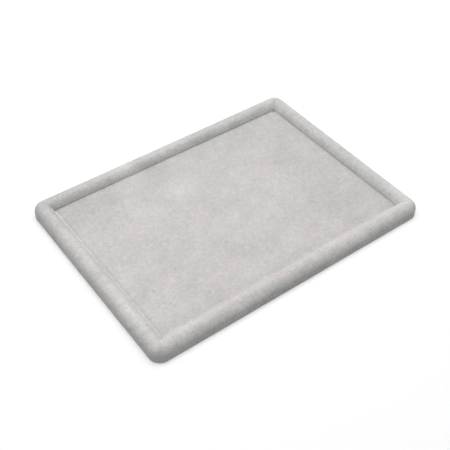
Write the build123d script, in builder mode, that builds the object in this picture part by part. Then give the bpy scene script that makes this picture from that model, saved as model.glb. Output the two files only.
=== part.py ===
from build123d import *
import os

# A flat display tray: a padded half-round roll goes all the way round a recessed floor
# panel, and both are covered in velvet. Millimetres. X runs along the long sides, Y along
# the short sides and Z up. The origin is the middle of the footprint, on the surface that
# the tray stands on.

# Outline of the finished tray
tray_length = 300.0
tray_width = 220.0
corner_radius = 11.0

# Roll, measured over its velvet
rim_width = 16.5
rail_side_height = 1.75

# Sheet materials
cover_thickness = 0.4
velvet_thickness = 0.6
board_thickness = 4.0
board_edge_round = 0.5
rim_foam_thickness = 1.0
floor_card_thickness = 1.5
floor_foam_thickness = 1.0

# Velvet edges that are folded out of sight, and the cover over them
rim_turn_under = 15.0
rim_tuck_in = 12.0
floor_turn_under = 14.0
cover_margin = 4.0

# Floor panel
floor_gap = 0.3
card_corner_radius = 1.5
foam_round_share = 0.9

# One overrun serves the mitre cuts
cut_overrun = 2.0

# Heights that follow from the stack of sheets
board_bottom = cover_thickness + velvet_thickness
board_top = board_bottom + board_thickness
roll_radius = rim_width / 2
roll_centre = board_top + rail_side_height
tray_height = roll_centre + roll_radius
floor_bottom = board_top + velvet_thickness
card_bottom = floor_bottom + velvet_thickness
foam_bottom = card_bottom + floor_card_thickness
foam_top = foam_bottom + floor_foam_thickness
floor_top = foam_top + velvet_thickness

# Distances in from the tray's outer face
tuck_end = rim_width + rim_tuck_in
floor_inset = rim_width + floor_gap
card_inset = floor_inset + velvet_thickness
floor_hem_end = floor_inset + floor_turn_under

# Bends of the velvet over the edges that it wraps
foot_bend = board_edge_round + velvet_thickness
foam_round = foam_round_share * floor_foam_thickness
floor_round = foam_round + velvet_thickness
floor_corner_radius = card_corner_radius + velvet_thickness

# Each side of the tray has a section plane in the middle of its outer face: local X is
# the distance in from that face, local Y is up and the normal runs along the side.
half_length = tray_length / 2
half_width = tray_width / 2
sides = {
    "front": (Plane(origin=(0, -half_width, 0), x_dir=(0, 1, 0), z_dir=(1, 0, 0)), half_length),
    "right": (Plane(origin=(half_length, 0, 0), x_dir=(-1, 0, 0), z_dir=(0, 1, 0)), half_width),
    "back": (Plane(origin=(0, half_width, 0), x_dir=(0, -1, 0), z_dir=(-1, 0, 0)), half_length),
    "left": (Plane(origin=(-half_length, 0, 0), x_dir=(1, 0, 0), z_dir=(0, -1, 0)), half_width),
}

os.makedirs("parts", exist_ok=True)


def write(piece, label):
    """Names one finished piece and writes it."""
    piece.label = label
    export_step(piece, f"parts/{label}.step")


def outline(inset):
    """The tray's plan outline, drawn in by one distance all round."""
    with BuildSketch() as plan:
        if corner_radius > inset:
            RectangleRounded(
                tray_length - 2 * inset, tray_width - 2 * inset, corner_radius - inset
            )
        else:
            Rectangle(tray_length - 2 * inset, tray_width - 2 * inset)
    return plan.sketch


def panel_outline(inset, radius):
    """The floor panel's plan outline, drawn in from the tray's outer face."""
    with BuildSketch() as plan:
        RectangleRounded(tray_length - 2 * inset, tray_width - 2 * inset, radius)
    return plan.sketch


def roll_section(depth):
    """The roll's section above the board, drawn in from its velvet by one depth."""
    with BuildSketch() as section:
        with BuildLine():
            Line((depth, board_top), (depth, roll_centre))
            CenterArc((roll_radius, roll_centre), roll_radius - depth, 0, 180)
            Line((rim_width - depth, roll_centre), (rim_width - depth, board_top))
            Line((rim_width - depth, board_top), (depth, board_top))
        make_face()
    return section.sketch


def rim_side(side, section):
    """Carries a section along one side and half way round its two rounded corners.

    Inside the corner's centre the section meets the next side's in a mitre.
    """
    base, half_side = sides[side]
    half_straight = half_side - corner_radius
    mitre_plane = Plane(origin=base.origin, x_dir=base.z_dir, z_dir=(0, 0, 1))
    with BuildPart() as run:
        with BuildSketch(base):
            add(section)
        extrude(amount=half_straight, both=True)
        for end in (1, -1):
            end_plane = base.offset(end * half_straight)
            pivot = end_plane.from_local_coords((corner_radius, 0, 0))
            with BuildSketch(end_plane):
                add(section)
                Rectangle(
                    corner_radius, tray_height, align=(Align.MIN, Align.MIN), mode=Mode.INTERSECT
                )
            revolve(axis=Axis(pivot, (0, 0, end)), revolution_arc=90)
        with BuildSketch(mitre_plane.offset(-cut_overrun)):
            Polygon((-half_side, 0), (half_side, 0), (0, half_side), align=None)
        extrude(amount=tray_height + 2 * cut_overrun, mode=Mode.INTERSECT)
    return run.part


# Base board: thin fibreboard, its lower edge eased for the velvet
with BuildPart() as base_board:
    with BuildSketch(Plane.XY.offset(board_bottom)):
        add(outline(velvet_thickness))
    extrude(amount=board_thickness)
    fillet(base_board.faces().sort_by(Axis.Z)[0].edges(), board_edge_round)
write(base_board.part, "base_board")

# Rails: half-round wooden lengths, mitred and glued round the board's edge
rail_depth = velvet_thickness + rim_foam_thickness
rail_section = roll_section(rail_depth)
for side in sides:
    write(rim_side(side, rail_section), f"{side}_rail")

# Roll foam: a thin strip of sponge over each rail
with BuildSketch() as foam_section:
    add(roll_section(velvet_thickness))
    add(rail_section, mode=Mode.SUBTRACT)
for side in sides:
    write(rim_side(side, foam_section.sketch), f"{side}_rim_foam")

# Roll velvet: from its edge under the board, up the outer wall, over the foam and down
# to the edge that is tucked in under the floor panel
with BuildSketch() as velvet_section:
    with BuildLine():
        Line((rim_turn_under, cover_thickness), (foot_bend, cover_thickness))
        CenterArc((foot_bend, cover_thickness + foot_bend), foot_bend, 180, 90)
        Line((0, cover_thickness + foot_bend), (0, roll_centre))
        CenterArc((roll_radius, roll_centre), roll_radius, 0, 180)
        Line((rim_width, roll_centre), (rim_width, floor_bottom))
        Line((rim_width, floor_bottom), (tuck_end, floor_bottom))
        Line((tuck_end, floor_bottom), (tuck_end, board_top))
        Line((tuck_end, board_top), (rim_width - velvet_thickness, board_top))
        Line((rim_width - velvet_thickness, board_top), (rim_width - velvet_thickness, roll_centre))
        CenterArc((roll_radius, roll_centre), roll_radius - velvet_thickness, 0, 180)
        Line((velvet_thickness, roll_centre), (velvet_thickness, board_bottom + board_edge_round))
        CenterArc((foot_bend, board_bottom + board_edge_round), board_edge_round, 180, 90)
        Line((foot_bend, board_bottom), (rim_turn_under, board_bottom))
        Line((rim_turn_under, board_bottom), (rim_turn_under, cover_thickness))
    make_face()
velvet_runs = [rim_side(side, velvet_section.sketch) for side in sides]
with BuildPart() as rim_velvet:
    add(velvet_runs)
write(rim_velvet.part, "rim_velvet")

# Floor card: the stiff middle of the floor panel
card_outline = panel_outline(card_inset, card_corner_radius)
with BuildPart() as floor_board:
    with BuildSketch(Plane.XY.offset(card_bottom)):
        add(card_outline)
    extrude(amount=floor_card_thickness)
write(floor_board.part, "floor_board")

# Floor foam: sponge as large as the card, rounded down to it by the velvet's pull
with BuildPart() as floor_foam:
    with BuildSketch(Plane.XY.offset(foam_bottom)):
        add(card_outline)
    extrude(amount=floor_foam_thickness)
    fillet(floor_foam.faces().sort_by(Axis.Z)[-1].edges(), foam_round)
write(floor_foam.part, "floor_foam")

# Floor velvet: over the foam, down the card's edges and turned under as a hem
with BuildPart() as floor_velvet:
    with BuildSketch(Plane.XY.offset(floor_bottom)):
        add(panel_outline(floor_inset, floor_corner_radius))
    extrude(amount=floor_top - floor_bottom)
    fillet(floor_velvet.faces().sort_by(Axis.Z)[-1].edges(), floor_round)
    fillet(floor_velvet.faces().sort_by(Axis.Z)[0].edges(), velvet_thickness)
    with BuildSketch(Plane.XY.offset(floor_bottom)):
        add(outline(floor_hem_end))
    extrude(amount=velvet_thickness, mode=Mode.SUBTRACT)
    add([floor_board.part, floor_foam.part], mode=Mode.SUBTRACT)
write(floor_velvet.part, "floor_velvet")

# Bottom cover: a thin sheet glued over the folded velvet edges and, inside them, up
# against the board
with BuildPart() as bottom_cover:
    with BuildSketch():
        add(outline(cover_margin))
    extrude(amount=board_bottom)
    with BuildSketch(Plane.XY.offset(cover_thickness)):
        add(outline(0))
        add(outline(rim_turn_under), mode=Mode.SUBTRACT)
    extrude(amount=velvet_thickness, mode=Mode.SUBTRACT)
    with BuildSketch():
        add(outline(rim_turn_under + cover_thickness))
    extrude(amount=velvet_thickness, mode=Mode.SUBTRACT)
write(bottom_cover.part, "bottom_cover")

print("height", tray_height, "floor height", floor_top, "well depth", tray_height - floor_top)
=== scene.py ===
import math

import bpy
import numpy as np
from mathutils import Matrix, Vector, noise


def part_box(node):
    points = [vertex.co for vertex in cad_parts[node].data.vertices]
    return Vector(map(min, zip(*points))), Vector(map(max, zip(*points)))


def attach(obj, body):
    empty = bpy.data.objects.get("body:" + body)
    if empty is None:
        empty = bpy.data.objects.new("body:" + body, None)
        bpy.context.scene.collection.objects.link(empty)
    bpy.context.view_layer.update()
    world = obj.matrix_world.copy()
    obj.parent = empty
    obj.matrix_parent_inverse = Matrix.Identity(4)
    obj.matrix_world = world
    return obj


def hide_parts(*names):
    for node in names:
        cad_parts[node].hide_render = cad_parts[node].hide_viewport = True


# A flat display tray in light grey velvet: a padded half-round roll round a floor panel.
# Metres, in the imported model's own frame: X along the long sides, Y along the short
# sides, Z up, with the origin on the surface that the tray stands on.

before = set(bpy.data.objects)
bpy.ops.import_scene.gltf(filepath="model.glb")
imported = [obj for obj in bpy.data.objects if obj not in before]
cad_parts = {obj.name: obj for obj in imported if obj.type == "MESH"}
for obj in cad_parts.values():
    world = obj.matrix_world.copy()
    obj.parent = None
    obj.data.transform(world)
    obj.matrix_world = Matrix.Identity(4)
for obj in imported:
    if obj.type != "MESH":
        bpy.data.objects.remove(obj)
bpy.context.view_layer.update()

MM = 0.001

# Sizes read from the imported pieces
RIM_LOW, RIM_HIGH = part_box("rim_velvet")
BOARD_LOW, BOARD_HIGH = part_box("base_board")
RIM_SPONGE_LOW, RIM_SPONGE_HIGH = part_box("left_rim_foam")
RAIL_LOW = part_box("left_rail")[0]
PANEL_LOW, PANEL_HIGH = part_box("floor_velvet")
CARD_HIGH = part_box("floor_board")[1]
FLOOR_SPONGE_LOW, FLOOR_SPONGE_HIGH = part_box("floor_foam")
COVER_LOW, COVER_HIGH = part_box("bottom_cover")

HALF_X, HALF_Y = RIM_HIGH.x, RIM_HIGH.y
VELVET = BOARD_LOW.x - RIM_LOW.x
RIM_SPONGE = RAIL_LOW.x - RIM_SPONGE_LOW.x
RIM_WIDTH = RIM_SPONGE_HIGH.x - RIM_LOW.x + VELVET
ROLL_RADIUS = RIM_WIDTH / 2
ROLL_CENTRE = RIM_HIGH.z - ROLL_RADIUS
BOARD_BOTTOM, BOARD_TOP = BOARD_LOW.z, BOARD_HIGH.z
COVER = RIM_LOW.z
COVER_INSET = COVER_LOW.x - RIM_LOW.x
PANEL_INSET = PANEL_LOW.x - RIM_LOW.x

# Sizes that a piece's box doesn't give
CORNER_RADIUS = 11 * MM
BOARD_ROUND = 0.5 * MM
TURN_UNDER = 15 * MM
TUCK_IN = 12 * MM
CARD_CORNER = 1.5 * MM
SPONGE_ROUND = 0.9 * MM
PANEL_HEM = 14 * MM

# How tightly cloth turns a mitred corner, on the roll and on the floor panel
RIM_CREASE = 1.0 * MM
PANEL_CREASE = 0.2 * MM

# Small clumps of nap, on both velvets
NAP_CLUMP = 4 * MM
NAP_RISE = 0.04 * MM

SIDES = ("front", "right", "back", "left")

# Keeps a length that is divided by away from zero
TINY = 1e-12

# A pattern is moved by its seed times these. Each finer layer of noise on the meshes has
# half the size and half the strength of the last.
NOISE_SHIFT = np.array([17.3, 5.1, 9.7])
NOISE_FALL, NOISE_STEP = 1.0, 2.0
GRAIN_SHIFT = (3.7, 1.9, 2.3)
GRAIN_ROUGH = 0.55

# How pointed a surface is where its edge starts to look worn, and where it does in full
WORN_FROM, WORN_FULL = 0.52, 0.6


# Outlines and sections. A section's points are (distance in from the outline, height).

def soft_radius(past, crease):
    """A corner's radius drawn in past its centre, where it ends as a crease and not a point."""
    return (past + np.sqrt(past * past + 4 * crease * crease)) / 2


def ring_columns(counts, corner_count):
    """(side, share, is a corner) of each column round the tray, from the front's left end."""
    columns = []
    for side in range(len(SIDES)):
        count = counts[side % 2]
        columns += [(side, k / count, False) for k in range(count)]
        columns += [(side, k / corner_count, True) for k in range(corner_count)]
    return columns


def ring(inset, columns):
    """Plan points of the tray's outline drawn in by inset, one for each column, anticlockwise."""
    radius = soft_radius(CORNER_RADIUS - inset, RIM_CREASE)
    reach_x, reach_y = HALF_X - inset - radius, HALF_Y - inset - radius
    centres = [(reach_x, -reach_y), (reach_x, reach_y), (-reach_x, reach_y), (-reach_x, -reach_y)]
    points = []
    for side, share, in_corner in columns:
        turn = math.radians(-90 + 90 * side)
        x, y = centres[side]
        if in_corner:
            turn += share * math.pi / 2
        else:
            last_x, last_y = centres[side - 1]
            x, y = last_x + share * (x - last_x), last_y + share * (y - last_y)
        points.append((x + radius * math.cos(turn), y + radius * math.sin(turn)))
    return np.array(points)


def rings(section, columns):
    """A grid of points: the outline drawn in to each point of a section, at its height."""
    return np.array([[(x, y, z) for x, y in ring(q, columns)] for q, z in section])


def arc(centre_q, centre_z, radius, start, end, steps):
    """Section points on an arc, from start to end degrees."""
    angles = np.radians(np.linspace(start, end, steps + 1))
    return [(centre_q + radius * math.cos(a), centre_z + radius * math.sin(a)) for a in angles]


def lengths_along(path):
    """How far along a path each of its points is."""
    steps = np.linalg.norm(np.diff(np.array(path), axis=0), axis=1)
    return np.concatenate([[0], np.cumsum(steps)])


def even_steps(path, count):
    """The points that divide a path into a number of equal lengths."""
    path, known = np.array(path), lengths_along(path)
    lengths = np.linspace(0, known[-1], count + 1)
    return np.stack([np.interp(lengths, known, path[:, k]) for k in range(2)], axis=1).tolist()


def closed(path):
    """A path that runs back to its start."""
    return np.concatenate([path, path[:1]])


def eased(share):
    """A share from 0 to 1 that starts and ends gently."""
    share = np.clip(share, 0, 1)
    return share * share * (3 - 2 * share)


# Grids and meshes

def halved(array, axis, wrap):
    """An array with a smooth value added between each two along one axis."""
    values = np.moveaxis(array, axis, 0)
    if wrap:
        before, after = np.roll(values, 1, 0), np.roll(values, -2, 0)
        middle = (9 * (values + np.roll(values, -1, 0)) - before - after) / 16
    else:
        wide = np.concatenate([2 * values[:1] - values[1:2], values, 2 * values[-1:] - values[-2:-1]])
        middle = (9 * (wide[1:-2] + wide[2:-1]) - wide[:-3] - wide[3:]) / 16
    out = np.empty((len(values) + len(middle),) + values.shape[1:])
    out[0::2], out[1::2] = values, middle
    return np.moveaxis(out, 0, axis)


def ring_normals(points):
    """Unit normals of a grid of rings, from the way to each point's neighbours."""
    along = np.roll(points, -1, 1) - np.roll(points, 1, 1)
    normals = np.cross(along, np.gradient(points, axis=0))
    return normals / np.maximum(np.linalg.norm(normals, axis=2, keepdims=True), TINY)


def fractal(points, size, seed, octaves=3):
    """Smooth noise of about -1 to 1 at each point, with features of one size."""
    places = points.reshape(-1, 3) / size + seed * NOISE_SHIFT
    values = [noise.fractal(place, NOISE_FALL, NOISE_STEP, octaves) for place in places.tolist()]
    return np.array(values).reshape(points.shape[:-1])


def add_mesh(name, points, faces, uvs=None):
    """A smooth mesh object from points and faces, with a cloth map in metres if it has one."""
    mesh = bpy.data.meshes.new(name)
    mesh.from_pydata(points.reshape(-1, 3).tolist(), [], faces)
    if uvs is not None:
        layer = mesh.uv_layers.new(name="cloth")
        layer.data.foreach_set("uv", np.array(uvs, dtype=np.float32).ravel())
    mesh.shade_smooth()
    piece = bpy.data.objects.new(name, mesh)
    bpy.context.scene.collection.objects.link(piece)
    return piece


# Cloth: each velvet swells over its sponge while its hidden edges stay put

# The cloth is simulated at ten times its real size, which suits the solver better
SIM_SCALE = 10.0
SIM_FRAMES = 20


def swell(name, points, wrap, hold, pressure, slack):
    """Runs cloth over a grid of points and returns how far each moved, in metres.

    hold is 1 where the cloth is glued, and less where sponge only presses against it.
    slack is the share by which the cloth is longer than what it covers.
    """
    rows, cols = points.shape[:2]
    across = cols if wrap else cols - 1
    faces = []
    for i in range(rows - 1):
        for j in range(across):
            a, b = i * cols + j, i * cols + (j + 1) % cols
            faces.append((a, b, b + cols, a + cols))
    piece = add_mesh(name, points * SIM_SCALE, faces)
    group = piece.vertex_groups.new(name="hold")
    for index, weight in enumerate(hold.ravel().tolist()):
        group.add([index], weight, "REPLACE")
    cloth = piece.modifiers.new("cloth", "CLOTH")
    cloth.settings.vertex_group_mass = "hold"
    cloth.settings.use_pressure = True
    cloth.settings.uniform_pressure_force = pressure
    cloth.settings.shrink_min = -slack
    cloth.settings.effector_weights.gravity = 0
    cloth.point_cache.frame_start = 1
    cloth.point_cache.frame_end = SIM_FRAMES
    for step in range(1, SIM_FRAMES + 1):
        bpy.context.scene.frame_set(step)
    settled = piece.evaluated_get(bpy.context.evaluated_depsgraph_get()).to_mesh()
    out = np.empty(len(settled.vertices) * 3)
    settled.vertices.foreach_get("co", out)
    mesh = piece.data
    bpy.data.objects.remove(piece)
    bpy.data.meshes.remove(mesh)
    bpy.context.scene.frame_set(1)
    return out.reshape(points.shape) / SIM_SCALE - points


def capped(moves, most):
    """Moves that keep their direction and come smoothly up to a cap."""
    size = np.linalg.norm(moves, axis=-1, keepdims=True)
    return moves * most * np.tanh(size / most) / np.maximum(size, TINY)


# Roll velvet: one shell from its edge under the board, over the roll, to its tucked edge

RIM_STEP = 2.2 * MM
RIM_CORNER_COUNT = 8
RIM_COUNTS = [round(2 * (half - CORNER_RADIUS) / RIM_STEP) for half in (HALF_X, HALF_Y)]
RIM_ROWS = 18
coarse_columns = ring_columns(RIM_COUNTS, RIM_CORNER_COUNT)
fine_columns = ring_columns([2 * count for count in RIM_COUNTS], 2 * RIM_CORNER_COUNT)

# Above this height the cloth swells
RIM_FREE_FROM = 3 * MM
RIM_PRESSURE = 20.0
RIM_SLACK = 0.006
RIM_CAP = 0.25 * MM

# How firmly the sponge holds the cloth: the mean, its swing and over what distance, and
# its limits. Some rows are held altogether: glued at the foot, and pressed by the panel.
RIM_HOLD, RIM_HOLD_SWING, RIM_HOLD_SIZE = 0.1, 0.08, 22 * MM
RIM_HOLD_LEAST, RIM_HOLD_MOST = 0.01, 0.9
FOOT_ROWS, PRESSED_ROWS = 2, 4

# Outside the cover's edge the fold under the board sags towards the surface below
FOLD_CLEAR = 0.3 * MM
FOLD_EDGE = COVER_INSET - FOLD_CLEAR
FOLD_SAG_RUN = 1.2 * MM
SAG_SHARES = (0.25, 0.5, 0.75, 1.0)
FOLD_BOTTOM = 0.05 * MM
FOLD_BEND = 0.5 * MM
PLEATS, PLEAT_DEPTH = 4, 0.2 * MM

# Steps on each stretch of the section. The roll's arc is finer: even steps are taken along it
HEM_STEPS, BEND_STEPS, WALL_STEPS, TUCK_STEPS, LINING_STEPS = 5, 5, 2, 4, 12
ARC_STEPS = 180

# Each inner corner has a shallow crease, where the rails under the velvet are mitred
CREASE_DEPTH = 0.22 * MM
CREASE_WIDTH = 0.6 * MM
CREASE_FROM, CREASE_FULL = 8 * MM, 12 * MM


def swollen_roll(coarse_section, fine_section):
    """The velvet over the roll as a grid of points, swollen between its held edges."""
    fine = rings(fine_section, fine_columns)
    coarse = rings(coarse_section, coarse_columns)
    hold = RIM_HOLD + RIM_HOLD_SWING * fractal(coarse, RIM_HOLD_SIZE, seed=1, octaves=2)
    hold = np.clip(hold, RIM_HOLD_LEAST, RIM_HOLD_MOST)
    hold[:FOOT_ROWS] = hold[-PRESSED_ROWS:] = 1.0
    moves = capped(swell("rim_cloth", coarse, True, hold, RIM_PRESSURE, RIM_SLACK), RIM_CAP)
    # Each row's mean swelling comes off again, so the roll keeps its section
    outward = ring_normals(coarse)
    swelling = (moves * outward).sum(axis=2).mean(axis=1)
    moves -= swelling[:, None, None] * outward
    return fine + halved(halved(moves, 0, False), 1, True)


def creased_roll(cloth, section):
    """The velvet over the roll with its clumps of nap and its four corner creases."""
    from_mitre = ((HALF_X - np.abs(cloth[..., 0])) - (HALF_Y - np.abs(cloth[..., 1]))) / math.sqrt(2)
    inset = np.array(section)[:, 0]
    inward = np.clip((inset - CREASE_FROM) / (CREASE_FULL - CREASE_FROM), 0, 1)[:, None]
    crease = CREASE_DEPTH * inward * np.exp(-(from_mitre / CREASE_WIDTH) ** 2)
    clumps = NAP_RISE * fractal(cloth, NAP_CLUMP, seed=9, octaves=2)
    clumps[:FOOT_ROWS] = clumps[-2 * PRESSED_ROWS:] = 0.0
    return cloth + (clumps - crease)[..., None] * ring_normals(cloth)


def gathered_fold(section):
    """The fold under the board, gathered in a few pleats at each corner."""
    fold = rings(section, fine_columns)
    gathers = np.array([
        math.sin(PLEATS * math.pi * share) ** 2 if in_corner else 0.0
        for _, share, in_corner in fine_columns
    ])
    depths = np.array([math.sin(math.pi * min(q / FOLD_EDGE, 1.0)) for q, _ in section])
    fold[..., 2] += PLEAT_DEPTH * depths[:, None] * gathers
    return fold


def ring_shell(name, points, across, along):
    """A closed shell from a grid that wraps both ways, with a cloth map of its lengths."""
    rows, cols = points.shape[:2]
    faces, uvs = [], []
    for i in range(rows):
        below = (i + 1) % rows
        for j in range(cols):
            right = (j + 1) % cols
            faces.append((i * cols + right, below * cols + right, below * cols + j, i * cols + j))
            u0, u1, v0, v1 = along[j], along[j + 1], across[i], across[i + 1]
            uvs += [(u1, v0), (u1, v1), (u0, v1), (u0, v0)]
    return add_mesh(name, points, faces, uvs)


sag_path = [
    (FOLD_EDGE - FOLD_SAG_RUN * share, COVER - (COVER - FOLD_BOTTOM) * eased(share))
    for share in SAG_SHARES
]
foot_path = arc(FOLD_BEND, FOLD_BOTTOM + FOLD_BEND, FOLD_BEND, 270, 180, BEND_STEPS)
free_path = [(0.0, RIM_FREE_FROM)]
free_path += arc(ROLL_RADIUS, ROLL_CENTRE, ROLL_RADIUS, 180, 0, ARC_STEPS)
free_path += [(RIM_WIDTH, BOARD_TOP + VELVET)]
tuck_path = [free_path[-1], (RIM_WIDTH + TUCK_IN, BOARD_TOP + VELVET)]

fold_section = even_steps([(TURN_UNDER, COVER), (FOLD_EDGE, COVER)], HEM_STEPS)
fold_section += sag_path + foot_path
fold_section += even_steps([foot_path[-1], free_path[0]], WALL_STEPS)[1:-1]
roll_section = even_steps(free_path, 2 * RIM_ROWS)
tuck_section = even_steps(tuck_path, TUCK_STEPS)[1:]
lining_section = [(RIM_WIDTH + TUCK_IN, BOARD_TOP), (RIM_WIDTH - VELVET, BOARD_TOP)]
lining_section += arc(ROLL_RADIUS, ROLL_CENTRE, ROLL_RADIUS - VELVET, 0, 180, LINING_STEPS)
lining_section += [
    (VELVET, BOARD_BOTTOM + BOARD_ROUND), (BOARD_ROUND + VELVET, BOARD_BOTTOM),
    (TURN_UNDER, BOARD_BOTTOM),
]

roll_cloth = swollen_roll(even_steps(free_path, RIM_ROWS), roll_section)
rim_points = np.concatenate([
    gathered_fold(fold_section), creased_roll(roll_cloth, roll_section),
    rings(tuck_section, fine_columns), rings(lining_section, fine_columns),
])
rim_across = lengths_along(closed(fold_section + roll_section + tuck_section + lining_section))
rim_along = lengths_along(closed(ring(ROLL_RADIUS, fine_columns)))
rim = ring_shell("rim_plush", rim_points, rim_across, rim_along)


# Floor panel, its sponge and the bottom cover: a grid above, a grid below and rings between

def panel_lines(reach, radius, step, corner_count):
    """Grid lines across a panel: four times some number of even cells, and more in each corner."""
    count = 4 * round(reach / step / 2)
    straight = np.linspace(-reach, reach, count + 1)
    corner = radius * np.arange(1, corner_count + 1) / corner_count
    return np.concatenate([-reach - corner[::-1], straight, reach + corner])


class Panel:
    """A rounded rectangle of cloth or sheet that can be drawn in by any distance."""

    def __init__(self, half_x, half_y, radius, crease, grid_inset, step, corner_count=2):
        self.half, self.radius, self.crease = (half_x, half_y), radius, crease
        reach, corner = self.reach(grid_inset)
        x, y = np.meshgrid(*(panel_lines(r, corner, step, corner_count) for r in reach))
        self.share_x = np.clip(x, -reach[0], reach[0]) / reach[0]
        self.share_y = np.clip(y, -reach[1], reach[1]) / reach[1]
        over_x = np.clip(np.abs(x) - reach[0], 0, None) / corner
        over_y = np.clip(np.abs(y) - reach[1], 0, None) / corner
        self.turn_x = np.sign(x) * over_x * np.sqrt(1 - over_y ** 2 / 2)
        self.turn_y = np.sign(y) * over_y * np.sqrt(1 - over_x ** 2 / 2)
        index = np.arange(x.size).reshape(x.shape)
        self.loop = np.concatenate([
            index[0, :-1], index[:-1, -1], index[-1, :0:-1], index[:0:-1, 0]
        ])

    def reach(self, inset):
        """How far the straight sides reach, and the corner's radius, drawn in by inset."""
        corner = soft_radius(self.radius - inset, self.crease)
        return (self.half[0] - inset - corner, self.half[1] - inset - corner), corner

    def grid(self, inset, height):
        """A flat grid of points that ends at the outline drawn in by inset."""
        reach, corner = self.reach(inset)
        x = self.share_x * reach[0] + corner * self.turn_x
        y = self.share_y * reach[1] + corner * self.turn_y
        return np.stack([x, y, np.full_like(x, height)], axis=2)

    def ring(self, inset, height):
        """The points of such a grid that lie on its outline, anticlockwise."""
        return self.grid(inset, height).reshape(-1, 3)[self.loop]

    def solid(self, name, top, edge, bottom):
        """One closed mesh: the top grid, the rings down from its edge and the bottom grid."""
        rows, cols = top.shape[:2]
        count, around = rows * cols, len(self.loop)
        points = np.concatenate([top.reshape(-1, 3)] + edge + [bottom.reshape(-1, 3)])
        last = count + len(edge) * around
        loops = [self.loop] + [count + k * around + np.arange(around) for k in range(len(edge))]
        loops.append(last + self.loop)
        faces = []
        for i in range(rows - 1):
            for j in range(cols - 1):
                a, b, c, d = i * cols + j, i * cols + j + 1, (i + 1) * cols + j + 1, (i + 1) * cols + j
                faces.append((a, b, c, d))
                faces.append((last + d, last + c, last + b, last + a))
        for upper, lower in zip(loops[:-1], loops[1:]):
            for k in range(around):
                following = (k + 1) % around
                quad = (upper[k], lower[k], lower[following], upper[following])
                faces.append(tuple(int(index) for index in quad))
        return add_mesh(name, points, faces)


PANEL_STEP = 1.4 * MM
PANEL_PRESSURE = 4.0
PANEL_SLACK = 0.003
PANEL_CAP = 0.35 * MM
PANEL_HOLD, PANEL_HOLD_SWING, PANEL_HOLD_SIZE = 0.5, 0.35, 30 * MM
PANEL_HOLD_LEAST, PANEL_HOLD_MOST = 0.15, 0.9
PANEL_ROUND = SPONGE_ROUND + VELVET
PANEL_FLAT = 3.4 * MM
EDGE_HELD = 7 * MM
ROUND_STEPS, TURN_STEPS = 7, 3

# The panel sits against the roll at the front and left, where its soft edge takes the
# roll's shape, and its edge stands rounder and a little off the roll at the right and back
SEAT_GAP = 0.02 * MM
SEAT_CORNER = 0.3 * MM
SEAT_FADE = 15 * MM
FAR_GAP = np.array([0.1, 0.6]) * MM
FAR_ROUND = 2.4 * MM

# Rings between the top's grid and its rounded edge, as distances in from the outline
FLAT_INSETS = np.array([3.0, 2.8, 2.6, 2.4, 2.2, 2.0, 1.8, 1.65, 1.5]) * MM

# A fold along the left edge: distance in from the outline, width and rise in mm
EDGE_FOLD = [(1.75, 0.3, 0.12), (2.5, 0.4, -0.06)]
FOLD_TAPER = 6 * MM


def rounded_edge(start, radius):
    """The panel's edge as it turns down from its flat top until it stands upright."""
    turns = np.radians(np.linspace(0, 90, ROUND_STEPS + 1))[1:]
    return [
        (start + radius * (1 - math.sin(a)), PANEL_HIGH.z - radius * (1 - math.cos(a)))
        for a in turns
    ]


def roll_face(z):
    """The roll's inner side at one height, as a distance in from the panel's outline."""
    above = max(0.0, z - ROLL_CENTRE)
    return ROLL_RADIUS + math.sqrt(ROLL_RADIUS ** 2 - above ** 2) - PANEL_INSET


# The edge's plain section, and where it lies on the near sides and on the far ones
plain_flat = [(q, PANEL_HIGH.z) for q in FLAT_INSETS]
plain_round = rounded_edge(0.0, PANEL_ROUND)
plain_section = plain_flat + plain_round
seat_shift = PANEL_ROUND - (roll_face(PANEL_HIGH.z) + SEAT_GAP)
near_section = [(q - seat_shift, z) for q, z in plain_flat]
near_section += [(roll_face(z) + SEAT_GAP, z) for _, z in plain_round]
far_shift = RIM_WIDTH - PANEL_INSET + FAR_ROUND - PANEL_ROUND
far_section = [(q + far_shift, z) for q, z in plain_flat]
far_section += rounded_edge(RIM_WIDTH - PANEL_INSET, FAR_ROUND)

panel = Panel(
    PANEL_HIGH.x, PANEL_HIGH.y, CARD_CORNER + VELVET, PANEL_CREASE, PANEL_FLAT, PANEL_STEP
)
# How far each point of the panel's loop faces left and front, and how far right and back
facing = np.stack([panel.turn_x, panel.turn_y], axis=2).reshape(-1, 2)[panel.loop]
near_share = np.clip(-facing, 0, None)
far_share = np.clip(facing, 0, None)
in_seat_corner = (near_share > 0).all(axis=1)


def edge_ring(k):
    """One ring of the panel's edge: its own section on the near sides and on the far ones."""
    q, z = plain_section[k]
    points = panel.ring(q, z)
    corner = panel.reach(q)[1]
    # The front left corner is drawn out to fill the sharp corner inside the roll
    sharper = max(corner - SEAT_CORNER, 0.0) * (1 - near_share) * in_seat_corner[:, None]
    points[:, :2] -= near_share * (q - near_section[k][0]) + sharper
    points[:, :2] -= far_share * (far_section[k][0] - q + FAR_GAP)
    points[:, 2] += (far_share ** 2).sum(axis=1) * (far_section[k][1] - z)
    fold = sum(rise * MM * math.exp(-((q / MM - at) / wide) ** 2) for at, wide, rise in EDGE_FOLD)
    taper = np.clip((PANEL_HIGH.y - PANEL_ROUND - np.abs(points[:, 1])) / FOLD_TAPER, 0, 1)
    points[:, 2] += near_share[:, 0] * taper * fold
    return points


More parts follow.
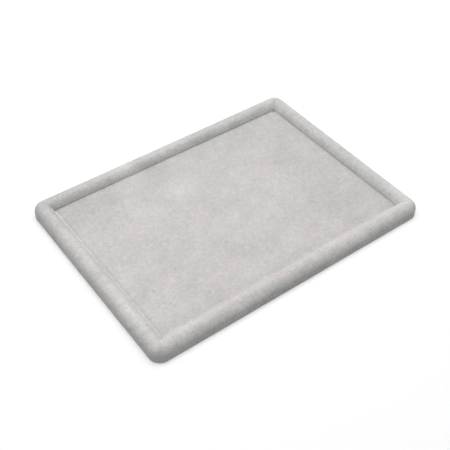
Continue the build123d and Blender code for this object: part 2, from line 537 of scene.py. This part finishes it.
def swelling_moves(top):
    """How far the floor's velvet swells between its edges, which stay put."""
    coarse = top[::2, ::2]
    hold = PANEL_HOLD + PANEL_HOLD_SWING * fractal(coarse, PANEL_HOLD_SIZE, seed=2, octaves=2)
    hold = np.clip(hold, PANEL_HOLD_LEAST, PANEL_HOLD_MOST)
    hold[0] = hold[-1] = 1.0
    hold[:, 0] = hold[:, -1] = 1.0
    moves = swell("floor_cloth", coarse, False, hold, PANEL_PRESSURE, PANEL_SLACK)
    moves = halved(halved(capped(moves, PANEL_CAP), 0, False), 1, False)
    from_edge = np.minimum(PANEL_HIGH.x - np.abs(top[..., 0]), PANEL_HIGH.y - np.abs(top[..., 1]))
    return moves * eased((from_edge - PANEL_FLAT) / EDGE_HELD)[..., None]


def floor_cloth():
    """The floor's velvet: swollen, drawn to its seat on each side, and with clumps of nap."""
    top = panel.grid(PANEL_FLAT, PANEL_HIGH.z)
    moves = swelling_moves(top)
    flat_half = np.array([PANEL_HIGH.x, PANEL_HIGH.y]) - PANEL_FLAT
    for axis, half in enumerate(flat_half):
        moves[..., axis] -= seat_shift * eased(1 - (top[..., axis] + half) / SEAT_FADE)
        moves[..., axis] -= (far_shift + FAR_GAP[axis]) * eased(1 - (half - top[..., axis]) / SEAT_FADE)
    past_clumps = (np.abs(top[..., :2]) - (flat_half - NAP_CLUMP)).max(axis=2)
    inside_edge = np.clip(-past_clumps / NAP_CLUMP, 0, 1)
    moves[..., 2] += NAP_RISE * fractal(top, NAP_CLUMP, seed=10, octaves=2) * inside_edge
    return top + moves


# Under its edge the velvet turns in below the card. Its inner face comes back out from
# there, and runs up the card's edge and over the sponge.
hem_top = PANEL_LOW.z + VELVET
hem_section = arc(VELVET, hem_top, VELVET, 180, 270, TURN_STEPS)
hem_section += [(PANEL_HEM, PANEL_LOW.z), (PANEL_HEM, hem_top), (VELVET, hem_top)]
hem_section += arc(PANEL_ROUND, CARD_HIGH.z, SPONGE_ROUND, 180, 90, TURN_STEPS)
floor_plush = panel.solid(
    "floor_plush", floor_cloth(),
    [edge_ring(k) for k in range(len(plain_section))] + [panel.ring(q, z) for q, z in hem_section],
    panel.grid(PANEL_FLAT, FLOOR_SPONGE_HIGH.z),
)

# Floor sponge, inside that velvet
SPONGE_DENT, SPONGE_DENT_SIZE = 0.05 * MM, 8 * MM
SPONGE_STEPS = 4
sponge_panel = Panel(
    FLOOR_SPONGE_HIGH.x, FLOOR_SPONGE_HIGH.y, CARD_CORNER, PANEL_CREASE, SPONGE_ROUND, 2 * PANEL_STEP
)
sponge_top = sponge_panel.grid(SPONGE_ROUND, FLOOR_SPONGE_HIGH.z)
sponge_top[..., 2] -= SPONGE_DENT * (1 + fractal(sponge_top, SPONGE_DENT_SIZE, seed=3)) / 2
sponge_side_top = FLOOR_SPONGE_HIGH.z - SPONGE_ROUND
sponge_section = arc(SPONGE_ROUND, sponge_side_top, SPONGE_ROUND, 90, 180, SPONGE_STEPS)[1:]
sponge_section += [(0.0, FLOOR_SPONGE_LOW.z)]
floor_sponge = sponge_panel.solid(
    "floor_sponge", sponge_top, [sponge_panel.ring(q, z) for q, z in sponge_section],
    sponge_panel.grid(SPONGE_ROUND, FLOOR_SPONGE_LOW.z),
)

# Rim sponges: a strip over each rail, its ends mitred
RIM_SPONGE_STEPS = 14


def rim_sponge(name, side):
    """One side's strip of sponge, from the middle of one corner to the middle of the next."""
    half, count = RIM_CORNER_COUNT // 2, RIM_COUNTS[side % 2]
    previous = (side - 1) % len(SIDES)
    run = [(previous, k / RIM_CORNER_COUNT, True) for k in range(half, RIM_CORNER_COUNT)]
    run += [(side, k / count, False) for k in range(count)]
    run += [(side, k / RIM_CORNER_COUNT, True) for k in range(half + 1)]
    deep = VELVET + RIM_SPONGE
    outside = [(VELVET, BOARD_TOP)]
    outside += arc(ROLL_RADIUS, ROLL_CENTRE, ROLL_RADIUS - VELVET, 180, 0, RIM_SPONGE_STEPS)
    outside += [(RIM_WIDTH - VELVET, BOARD_TOP)]
    inside = [(RIM_WIDTH - deep, BOARD_TOP)]
    inside += arc(ROLL_RADIUS, ROLL_CENTRE, ROLL_RADIUS - deep, 0, 180, RIM_SPONGE_STEPS)
    inside += [(deep, BOARD_TOP)]
    points = rings(outside + inside, run)
    rows, cols = points.shape[:2]
    faces = [
        (i * cols + j, i * cols + j + 1, (i + 1) % rows * cols + j + 1, (i + 1) % rows * cols + j)
        for i in range(rows) for j in range(cols - 1)
    ]
    for k in range(len(outside) - 1):
        end = (k, k + 1, rows - 2 - k, rows - 1 - k)
        faces.append(tuple(row * cols for row in end))
        faces.append(tuple(row * cols + cols - 1 for row in reversed(end)))
    return add_mesh(name, points, faces)


sponges = [rim_sponge(f"{side}_rim_sponge", k) for k, side in enumerate(SIDES)]

# Bottom cover: flat over the folded velvet, and up against the board inside it
COVER_STEP = 1.5 * MM
COVER_CORNER_COUNT = 6
COVER_ROUND = 0.1 * MM
COVER_WAVE, COVER_WAVE_SIZE = 0.06 * MM, 18 * MM
HEM_SLOPE = 1.6 * MM


def inset_at(points):
    """How far in from the tray's outline each point is."""
    x, y = HALF_X - np.abs(points[..., 0]), HALF_Y - np.abs(points[..., 1])
    rounded = CORNER_RADIUS - np.hypot(CORNER_RADIUS - x, CORNER_RADIUS - y)
    in_corner = (x < CORNER_RADIUS) & (y < CORNER_RADIUS)
    return np.where(in_corner, rounded, np.minimum(x, y))


cover = Panel(
    COVER_HIGH.x, COVER_HIGH.y, CORNER_RADIUS - COVER_INSET, PANEL_CREASE,
    COVER_ROUND, COVER_STEP, COVER_CORNER_COUNT,
)
cover_low = cover.grid(COVER_ROUND, COVER_LOW.z)
past_hem = eased((inset_at(cover_low) - TURN_UNDER) / HEM_SLOPE)
wave = COVER_WAVE * (fractal(cover_low, COVER_WAVE_SIZE, seed=4) - 1)
cover_low[..., 2] += past_hem * (BOARD_BOTTOM - COVER + wave)
cover_high = cover_low + np.array([0, 0, COVER])
bottom_sheet = cover.solid(
    "bottom_sheet", cover_high,
    [cover.ring(0.0, COVER - COVER_ROUND), cover.ring(0.0, COVER_ROUND)], cover_low,
)


# Material nodes

def add_node(tree, kind, values=None, **settings):
    """A node with its settings, its sockets given values or linked to other sockets."""
    node = tree.nodes.new(kind)
    for key, value in settings.items():
        setattr(node, key, value)
    for socket, value in (values or {}).items():
        if isinstance(value, bpy.types.NodeSocket):
            tree.links.new(value, node.inputs[socket])
        else:
            node.inputs[socket].default_value = value
    return node


def maths(tree, operation, a, b=0.0, c=0.0):
    """What one operation makes of up to three values."""
    return add_node(tree, "ShaderNodeMath", {0: a, 1: b, 2: c}, operation=operation).outputs[0]


def grain(tree, coords, size, seed, detail=2.0, stretch=(1, 1, 1), swirl=0.0):
    """Noise from 0 to 1 with features of one size in metres, longer where stretch is under 1."""
    placed = add_node(tree, "ShaderNodeMapping", {
        "Vector": coords, "Location": tuple(seed * shift for shift in GRAIN_SHIFT),
        "Scale": tuple(share / size for share in stretch),
    })
    return add_node(tree, "ShaderNodeTexNoise", {
        "Vector": placed.outputs[0], "Scale": 1.0, "Detail": detail, "Roughness": GRAIN_ROUGH,
        "Distortion": swirl,
    }).outputs[0]


def varied(tree, total, value, amount):
    """total, plus a value from 0 to 1 that swings it by amount either way."""
    swing = maths(tree, "MULTIPLY_ADD", value, 2 * amount, -amount)
    return maths(tree, "ADD", total, swing)


def spread(tree, value, low, high):
    """A value's range from low to high, as 0 to 1."""
    return add_node(tree, "ShaderNodeMapRange", {
        "Value": value, "From Min": low, "From Max": high,
    }).outputs[0]


def ramp(tree, value, start, end, amount):
    """0 until the value reaches start, and amount from end on."""
    return add_node(tree, "ShaderNodeMapRange", {
        "Value": value, "From Min": start, "From Max": end, "To Min": 0.0, "To Max": amount,
    }, interpolation_type="SMOOTHSTEP").outputs[0]


def patch(tree, coords, x, y, size, amount):
    """amount at a place at the floor's height, falling to 0 at a distance of size, both in mm."""
    away = add_node(tree, "ShaderNodeVectorMath", {
        0: coords, 1: (x * MM, y * MM, PANEL_HIGH.z),
    }, operation="DISTANCE").outputs["Value"]
    return ramp(tree, away, size * MM, 0.0, amount)


def worn(tree, light, amount):
    """The light, changed by amount along the piece's sharp edges."""
    edge = add_node(tree, "ShaderNodeNewGeometry").outputs["Pointiness"]
    return maths(tree, "ADD", light, ramp(tree, edge, WORN_FROM, WORN_FULL, amount))


def new_material(name, gloss):
    """A material, its tree, its shader with the gloss given, and its coordinates in metres."""
    material = bpy.data.materials.new(name)
    material.use_nodes = True
    tree = material.node_tree
    shader = tree.nodes["Principled BSDF"]
    for socket, value in gloss.items():
        shader.inputs[socket].default_value = value
    return material, tree, shader, add_node(tree, "ShaderNodeTexCoord").outputs["Object"]


def paint(tree, shader, colours, tone, light):
    """Colours the surface between two colours, made lighter or darker as a whole."""
    low, high = colours
    mixed = add_node(tree, "ShaderNodeMix", {0: tone, 6: low, 7: high}, data_type="RGBA").outputs[2]
    lit = add_node(tree, "ShaderNodeVectorMath", {0: mixed, "Scale": light}, operation="SCALE")
    tree.links.new(lit.outputs[0], shader.inputs["Base Color"])


def roughen(tree, shader, value, start, change):
    """Roughness of start where the value is 0, and changed by change where it is 1."""
    tree.links.new(maths(tree, "MULTIPLY_ADD", value, change, start), shader.inputs["Roughness"])


def bump(tree, shader, height, distance):
    """Raises the surface by distance where the height is 1."""
    node = add_node(tree, "ShaderNodeBump", {"Height": height, "Strength": 1.0, "Distance": distance})
    tree.links.new(node.outputs[0], shader.inputs["Normal"])


def srgb(red, green, blue):
    """A linear colour from the 0 to 255 values that it should show as."""
    shares = [value / 255 for value in (red, green, blue)]
    linear = [s / 12.92 if s <= 0.04045 else ((s + 0.055) / 1.055) ** 2.4 for s in shares]
    return (*linear, 1.0)


# Velvet. Places and sizes in its tables are in mm, and amounts are shares of its lightness.

GREY_TO_ROSE = srgb(202.3, 202.3, 200), srgb(207, 201.3, 200.9)
VELVET_GLOSS = {"Specular IOR Level": 0.12, "Sheen Weight": 0.12, "Sheen Roughness": 0.5}

# Sizes of its features, how far its streaks are stretched, and its bump: the shares that
# the fine nap and its clumps have in it, and its depth
FINE_NAP, BUMP_CLUMP, TUFT, STREAK, HUE_BLOTCH = 0.7 * MM, 3 * MM, 3.5 * MM, 1.6 * MM, 12 * MM
STREAK_STRETCH = (1, 0.16, 1)
NAP_SHARE, CLUMP_SHARE, VELVET_BUMP = 0.4, 0.7, 0.3 * MM

# The nap's tone at several sizes: size, seed, detail, amount, and how far it swirls
NAP = [
    (45, 2, 1.0, 0.09, 0.0), (14, 3, 2.0, 0.09, 0.3), (5, 4, 2.0, 0.10, 0.5),
    (2.0, 5, 2.0, 0.18, 0.6), (0.7, 9, 2.0, 0.08, 0.0),
]

# The colour leans to rose inside these lines and to grey outside them, a painted tint of shade:
# axis, start and end
GREY_SHADE_EDGES = [(0, -148.5, -139.5), (1, -108.5, -99.5), (0, 135, 108), (1, 94.5, 80)]
HUE_INSIDE, GREY_SHADE_TONE, HUE_SWING = 0.6, 0.22, 0.34
# Where the floor leans back to grey: x, y, reach and how much
FLOOR_HUES = [(-122, 64, 54, -0.45), (10, -10, 45, -0.35), (60, 80, 60, -0.25)]

# Where the pile on the floor lies lighter or darker: x, y, reach and amount
FLOOR_PATCHES = [
    (-18, 48, 28, 0.08), (-60, 80, 28, 0.06), (-108, -6, 28, 0.05),
    (-122, 80, 50, -0.05), (70, -50, 70, -0.03), (100, 30, 50, -0.03),
]
# Axis, start, end and amount: painted shade towards the back and the right side, over the panel's
# far edges and beside the front roll, apart from the very edge there. The last three are a
# painted highlight line over the left edge, and a painted shade line inside it.
FLOOR_HIGHLIGHT_AND_SHADE = [
    (1, 40, 95, -0.05), (0, 50, 134, -0.03), (0, 112, 132, -0.045),
    (1, 87.5, 92, -0.13), (0, 128.5, 132, -0.10), (1, -76, -92, -0.08), (1, -91.5, -93.2, 0.09),
    (0, -132.8, -133.4, 0.06), (0, -133.2, -132.4, -0.11), (0, -131.6, -129.0, 0.11),
]
# The nap is rougher towards the left: start, end and amount
FLOOR_ROUGH = (-10, -100, 0.115)
# The painted highlight line over the left edge is brightest near the back corner: two ramps and amount
FLOOR_GLINT = ((0, -132.2, -133.2), (1, 48, 66), 0.16)

# Where the pile on the roll lies lighter or darker: x, y, reach and amount
RIM_PATCHES = [
    (-138, 98, 64, -0.10), (-54, 104, 44, 0.06), (50, 104, 40, -0.05), (142, 88, 32, -0.04),
    (144, -92, 36, 0.13), (-18, -104, 34, -0.06), (-142, -50, 80, 0.022),
]
# The roll's crest is lighter, partly rubbed pile and partly a painted highlight, and its lower
# edge has painted shade: axis, start, end and amount
RIM_HIGHLIGHT_AND_SHADE = [(2, 11, 15, 0.02), (2, 3.5, 1.0, -0.06)]
# Bands along the two sides that face one axis: axis, the band's four ends and amount. They
# are the front's wall and roll, then the back, right and left rolls: painted shade on the inner
# side, painted light where they meet the panel, and on two a little painted shade on the crest
RIM_LIGHT_AND_SHADE_BANDS = [
    (1, -112, -111, -109.95, -109.7, -0.06), (1, -109.5, -108, -104, -99, -0.045),
    (1, -100, -98, -95, -93, 0.02),
    (1, 92, 94.5, 96.5, 100.5, -0.13), (1, 92, 93, 93.9, 95.0, 0.22), (1, 98, 101, 103, 106, -0.02),
    (0, 132.5, 136, 139, 144, -0.035), (0, 132.5, 133.5, 134.3, 135.3, 0.12),
    (0, 139, 141.5, 143, 146, -0.014),
    (0, -141, -138.6, -137.2, -135.5, -0.06), (0, -135.4, -134.6, -133, -132, 0.04),
]
MITRE_BLUR = 0.5 * MM


def velvet_tone(tree, coords, axes, hues):
    """How far the velvet's colour leans from grey, at 0, to rose, at 1."""
    # Outside the lines the colour leans to grey: a painted tint of shade
    inside = 1.0
    for axis, start, end in GREY_SHADE_EDGES:
        inside = maths(tree, "MINIMUM", inside, ramp(tree, axes[axis], start * MM, end * MM, 1.0))
    tone = maths(tree, "MULTIPLY_ADD", inside, HUE_INSIDE - GREY_SHADE_TONE, GREY_SHADE_TONE)
    blotches = spread(tree, grain(tree, coords, HUE_BLOTCH, seed=1), low=0.36, high=0.64)
    tone = varied(tree, tone, blotches, HUE_SWING)
    for x, y, size, amount in hues:
        tone = maths(tree, "ADD", tone, patch(tree, coords, x, y, size, amount))
    return tone


def banded(tree, axes, light, bands):
    """The light with painted bands of light and shade, each only along the two sides that face their
    axis.
    """
    near_x = maths(tree, "SUBTRACT", HALF_X, maths(tree, "ABSOLUTE", axes[0]))
    near_y = maths(tree, "SUBTRACT", HALF_Y, maths(tree, "ABSOLUTE", axes[1]))
    past_mitre = maths(tree, "SUBTRACT", near_y, near_x)
    on_short = ramp(tree, past_mitre, -MITRE_BLUR, MITRE_BLUR, 1.0)
    on_side = (on_short, maths(tree, "SUBTRACT", 1.0, on_short))
    for axis, start, full, last, end, amount in bands:
        rise = ramp(tree, axes[axis], start * MM, full * MM, amount)
        fall = ramp(tree, axes[axis], end * MM, last * MM, 1.0)
        both = maths(tree, "MULTIPLY", rise, fall)
        light = maths(tree, "MULTIPLY_ADD", both, on_side[axis], light)
    return light


def velvet_light(
    tree, coords, axes, gain, mottle, patches, ramps, bands=(), streaks=0.0, rough=None, glint=None
):
    """How light the velvet is: the lay of its nap at several sizes, and what is placed one by one."""
    light = gain
    for size, seed, detail, amount, swirl in NAP:
        lay = grain(tree, coords, size * MM, seed, detail, swirl=swirl)
        light = varied(tree, light, lay, mottle * amount)
    if rough:
        start, end, amount = rough
        tufts = varied(tree, 0.0, grain(tree, coords, TUFT, seed=15, detail=3.0, swirl=1.0), amount)
        share = ramp(tree, axes[0], start * MM, end * MM, 1.0)
        light = maths(tree, "MULTIPLY_ADD", tufts, share, light)
    # A painted highlight line, where a glint is given
    if glint:
        *lines, amount = glint
        shares = [ramp(tree, axes[axis], start * MM, end * MM, 1.0) for axis, start, end in lines]
        light = maths(tree, "MULTIPLY_ADD", maths(tree, "MULTIPLY", *shares), amount, light)
    if streaks:
        cloth = add_node(tree, "ShaderNodeUVMap", uv_map="cloth").outputs[0]
        lay = grain(tree, cloth, STREAK, seed=6, stretch=STREAK_STRETCH)
        light = varied(tree, light, lay, streaks)
    for x, y, size, amount in patches:
        light = maths(tree, "ADD", light, patch(tree, coords, x, y, size, amount))
    # Painted highlight and shade from the ramps
    for axis, start, end, amount in ramps:
        light = maths(tree, "ADD", light, ramp(tree, axes[axis], start * MM, end * MM, amount))
    return banded(tree, axes, light, bands) if bands else light


def velvet_material(name, hues=(), **look):
    """Short-pile velvet: tone and lay of the nap at several sizes, a soft sheen and a fine bump."""
    material, tree, shader, coords = new_material(name, VELVET_GLOSS)
    axes = add_node(tree, "ShaderNodeSeparateXYZ", {0: coords}).outputs
    light = velvet_light(tree, coords, axes, **look)
    paint(tree, shader, GREY_TO_ROSE, velvet_tone(tree, coords, axes, hues), light)
    fine_nap = grain(tree, coords, FINE_NAP, seed=7)
    clumps = grain(tree, coords, BUMP_CLUMP, seed=8)
    roughen(tree, shader, fine_nap, start=1.02, change=-0.14)
    nap_height = maths(tree, "MULTIPLY", fine_nap, NAP_SHARE)
    height = maths(tree, "MULTIPLY_ADD", clumps, CLUMP_SHARE, nap_height)
    bump(tree, shader, height, VELVET_BUMP)
    return material


# Hidden materials: the darker and the lighter colour of each

SPONGE_COLOURS = srgb(226, 219, 204), srgb(232, 229, 219)
WOOD_COLOURS = srgb(178, 139, 94), srgb(218, 187, 143)
FIBREBOARD_COLOURS = srgb(158, 131, 103), srgb(184, 158, 126)
GREYBOARD_COLOURS = srgb(150, 149, 144), srgb(172, 171, 165)
COVER_COLOURS = srgb(161, 158, 156), srgb(167, 163, 162)
COVER_GLOSS = {"Specular IOR Level": 0.15, "Sheen Weight": 0.08, "Sheen Roughness": 0.5}

# Sizes of their features, how far wood's grain is stretched, and how deep their bumps are
SPONGE_PORE, SPONGE_BLOTCH, SPONGE_SHADE, SPONGE_BUMP = 0.9 * MM, 6 * MM, 20 * MM, 0.3 * MM
WOOD_PORE, WOOD_BAND, WOOD_SHADE, WOOD_BUMP = 0.5 * MM, 2.2 * MM, 30 * MM, 0.1 * MM
WOOD_STRETCH = 0.04
FIBREBOARD_SPECK, GREYBOARD_SPECK = 0.6 * MM, 0.9 * MM
BOARD_FIBRE, BOARD_SHADE, BOARD_BUMP = 2 * MM, 25 * MM, 0.08 * MM
COVER_NAP, COVER_BLOTCH, COVER_SHADE, COVER_BUMP = 0.8 * MM, 9 * MM, 40 * MM, 0.1 * MM
COVER_RUB, COVER_RUB_TOP = 7 * MM, 0.2 * MM


def sponge_material(name):
    """Off-white open sponge: rounded pores with painted shade in them, and edges that are pressed
    darker.
    """
    material, tree, shader, coords = new_material(name, {"Specular IOR Level": 0.1})
    cells = add_node(tree, "ShaderNodeTexVoronoi", {"Vector": coords, "Scale": 1 / SPONGE_PORE})
    pores = cells.outputs["Distance"]
    light = varied(tree, 0.95, grain(tree, coords, SPONGE_SHADE, seed=11), amount=0.08)
    # Painted shade in the pores
    light = maths(tree, "ADD", light, ramp(tree, pores, start=0.35, end=0.05, amount=-0.3))
    light = worn(tree, light, amount=-0.08)
    paint(tree, shader, SPONGE_COLOURS, grain(tree, coords, SPONGE_BLOTCH, seed=12), light)
    roughen(tree, shader, pores, start=1.0, change=-0.15)
    bump(tree, shader, pores, SPONGE_BUMP)
    return material


def wood_material(name, along):
    """Pale sawn wood, its grain along one axis, with dark pores and rubbed edges."""
    material, tree, shader, coords = new_material(name, {})
    stretch = [WOOD_STRETCH if axis == along else 1.0 for axis in range(3)]
    bands = grain(tree, coords, WOOD_BAND, seed=21, detail=4.0, stretch=stretch)
    pores = grain(tree, coords, WOOD_PORE, seed=22, stretch=stretch)
    light = varied(tree, 1.0, grain(tree, coords, WOOD_SHADE, seed=23), amount=0.08)
    light = maths(tree, "ADD", light, ramp(tree, pores, start=0.6, end=0.7, amount=-0.15))
    light = worn(tree, light, amount=0.1)
    paint(tree, shader, WOOD_COLOURS, spread(tree, bands, low=0.3, high=0.7), light)
    roughen(tree, shader, bands, start=0.6, change=0.2)
    bump(tree, shader, pores, WOOD_BUMP)
    return material


def board_material(name, colours, fleck, speck_size):
    """Pressed board: fibres and specks, paler where its cut edges are rubbed."""
    material, tree, shader, coords = new_material(name, {"Specular IOR Level": 0.25})
    specks = grain(tree, coords, speck_size, seed=31, detail=3.0)
    light = varied(tree, 1.0, grain(tree, coords, BOARD_SHADE, seed=32), amount=0.07)
    light = maths(tree, "ADD", light, ramp(tree, specks, start=0.58, end=0.72, amount=-fleck))
    light = worn(tree, light, amount=0.15)
    paint(tree, shader, colours, grain(tree, coords, BOARD_FIBRE, seed=33, detail=4.0), light)
    roughen(tree, shader, specks, start=0.75, change=0.2)
    bump(tree, shader, specks, BOARD_BUMP)
    return material


def cover_material(name):
    """Thin flocked sheet: a fine even nap, rubbed paler where the tray slides on it."""
    material, tree, shader, coords = new_material(name, COVER_GLOSS)
    height = add_node(tree, "ShaderNodeSeparateXYZ", {0: coords}).outputs["Z"]
    nap = grain(tree, coords, COVER_NAP, seed=41, detail=3.0)
    light = varied(tree, 1.0, grain(tree, coords, COVER_SHADE, seed=42), amount=0.06)
    light = varied(tree, light, nap, amount=0.1)
    lowest = ramp(tree, height, start=COVER_RUB_TOP, end=0.0, amount=0.12)
    rubbed = maths(tree, "MULTIPLY", lowest, grain(tree, coords, COVER_RUB, seed=43))
    light = maths(tree, "ADD", light, rubbed)
    paint(tree, shader, COVER_COLOURS, grain(tree, coords, COVER_BLOTCH, seed=44), light)
    roughen(tree, shader, nap, start=1.0, change=-0.14)
    bump(tree, shader, nap, COVER_BUMP)
    return material


# Soft pieces take the place of their solids
# A gain of 1.04 makes the roll lighter than the floor: partly its stretched pile, partly a painted
# highlight
rim_material = velvet_material(
    "rim_velvet", gain=1.04, mottle=1.3, streaks=0.08,
    patches=RIM_PATCHES, ramps=RIM_HIGHLIGHT_AND_SHADE, bands=RIM_LIGHT_AND_SHADE_BANDS,
)
floor_material = velvet_material(
    "floor_velvet", hues=FLOOR_HUES, gain=1.0, mottle=1.1,
    patches=FLOOR_PATCHES, ramps=FLOOR_HIGHLIGHT_AND_SHADE, rough=FLOOR_ROUGH, glint=FLOOR_GLINT,
)
sponge = sponge_material("sponge")
dressed = [
    (rim, "rim_velvet", rim_material, "velvet"),
    (floor_plush, "floor_velvet", floor_material, "velvet"),
    (floor_sponge, "floor_foam", sponge, "foam"),
    (bottom_sheet, "bottom_cover", cover_material("flocked_sheet"), "cover"),
]
dressed += [(piece, f"{side}_rim_foam", sponge, "foam") for side, piece in zip(SIDES, sponges)]
for piece, node, material, slot in dressed:
    piece.data.materials.append(material)
    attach(piece, "root")
    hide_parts(node)

# Rigid pieces keep their solids and get their own materials
long_wood = wood_material("rail_wood_long", along=0)
short_wood = wood_material("rail_wood_short", along=1)
fibreboard = board_material("fibreboard", FIBREBOARD_COLOURS, fleck=0.25, speck_size=FIBREBOARD_SPECK)
greyboard = board_material("greyboard", GREYBOARD_COLOURS, fleck=0.3, speck_size=GREYBOARD_SPECK)
rigid = {
    "front_rail": long_wood, "back_rail": long_wood, "left_rail": short_wood, "right_rail": short_wood,
    "base_board": fibreboard, "floor_board": greyboard,
}
for name, material in rigid.items():
    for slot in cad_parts[name].material_slots:
        slot.material = material


# Floor, world, lamps and camera

def bare_tree(owner):
    """A material's or world's node tree, emptied."""
    owner.use_nodes = True
    owner.node_tree.nodes.clear()
    return owner.node_tree


def seen_share(tree):
    """1 where it is seen, directly or in gloss or glass, and 0 where it only sheds light."""
    rays = add_node(tree, "ShaderNodeLightPath").outputs
    seen = maths(tree, "MAXIMUM", rays["Is Camera Ray"], rays["Is Glossy Ray"])
    return maths(tree, "MAXIMUM", seen, rays["Is Transmission Ray"])


# A pale floor that shows white to the camera where it is fully lit, and further out
STAGE_COLOUR = (0.75, 0.75, 0.75, 1)
STAGE_GLOW, STAGE_FAR_GLOW = 0.3, 0.7
STAGE_FAR_FROM, STAGE_FAR_TO = 0.3, 1.0
STAGE_HALF = 4.0
STAGE_DROP = 0.2 * MM
stage_material = bpy.data.materials.new("stage_floor")
tree = bare_tree(stage_material)
seen = seen_share(tree)
diffuse = add_node(tree, "ShaderNodeBsdfDiffuse", {"Color": STAGE_COLOUR})
place = add_node(tree, "ShaderNodeTexCoord").outputs["Object"]
away = add_node(tree, "ShaderNodeVectorMath", {0: place}, operation="LENGTH").outputs["Value"]
shine = maths(tree, "ADD", STAGE_GLOW, ramp(tree, away, STAGE_FAR_FROM, STAGE_FAR_TO, STAGE_FAR_GLOW))
glow = add_node(tree, "ShaderNodeEmission", {"Strength": maths(tree, "MULTIPLY", seen, shine)})
both = add_node(tree, "ShaderNodeAddShader", {0: diffuse.outputs[0], 1: glow.outputs[0]})
add_node(tree, "ShaderNodeOutputMaterial", {"Surface": both.outputs[0]})
stage_corners = np.array([
    (x * STAGE_HALF, y * STAGE_HALF, -STAGE_DROP) for x, y in ((-1, -1), (1, -1), (1, 1), (-1, 1))
])
stage = add_mesh("stage_floor", stage_corners, [(0, 1, 2, 3)])
stage.data.materials.append(stage_material)

# World: white where it is seen, and faint as a light
WORLD_LIGHT = 0.05
world = bpy.data.worlds.new("studio")
bpy.context.scene.world = world
tree = bare_tree(world)
strength = maths(tree, "MULTIPLY_ADD", seen_share(tree), 1 - WORLD_LIGHT, WORLD_LIGHT)
sky = add_node(tree, "ShaderNodeBackground", {"Color": (1, 1, 1, 1), "Strength": strength})
add_node(tree, "ShaderNodeOutputWorld", {"Surface": sky.outputs[0]})

# Square lamps: name, azimuth and elevation in degrees, distance and size in metres, watts
LAMPS = [
    ("overhead", 180, 88, 1.6, 1.2, 17.1), ("back", 180, 25, 1.6, 1.2, 3.9),
    ("right", 90, 50, 1.6, 1.2, 6.8), ("near_left", -110, 60, 0.9, 0.6, 1.45),
    ("front", 0, 40, 1.6, 1.2, 0.7),
]


def way_to(azimuth, elevation):
    """The way from the tray to a lamp or camera. Azimuth 0 is at -Y and 90 degrees at +X."""
    a, e = math.radians(azimuth), math.radians(elevation)
    return Vector((math.sin(a) * math.cos(e), -math.cos(a) * math.cos(e), math.sin(e)))


for name, azimuth, elevation, distance, size, watts in LAMPS:
    way = way_to(azimuth, elevation)
    lamp = bpy.data.lights.new(name, "AREA")
    lamp.shape = "SQUARE"
    lamp.size = size
    lamp.energy = watts
    holder = bpy.data.objects.new(name, lamp)
    holder.location = way * distance
    holder.rotation_mode = "QUATERNION"
    holder.rotation_quaternion = (-way).to_track_quat("-Z", "Y")
    bpy.context.scene.collection.objects.link(holder)

# Camera, fitted to the photograph: angles in degrees, and a frame 450 pixels wide
FRAME_PX, FOCAL_PX = 450, 804.544
AZIMUTH, ELEVATION, ROLL = -36.3403, 45.0353, 0.1274
TARGET, DISTANCE = Vector((-9.29 * MM, -11.62 * MM, 0.13 * MM)), 762.028 * MM
turn, lean = math.radians(AZIMUTH), math.radians(ROLL)
back = way_to(AZIMUTH, ELEVATION)
level_right = Vector((math.cos(turn), math.sin(turn), 0))
level_up = back.cross(level_right)
right = level_right * math.cos(lean) + level_up * math.sin(lean)
up = level_up * math.cos(lean) - level_right * math.sin(lean)
camera_data = bpy.data.cameras.new("camera")
camera_data.lens = FOCAL_PX / FRAME_PX * camera_data.sensor_width
camera = bpy.data.objects.new("camera", camera_data)
bpy.context.scene.collection.objects.link(camera)
camera.matrix_world = (
    Matrix.Translation(TARGET + back * DISTANCE) @ Matrix((right, up, back)).transposed().to_4x4()
)
bpy.context.scene.camera = camera
bpy.context.scene.view_settings.view_transform = "Standard"
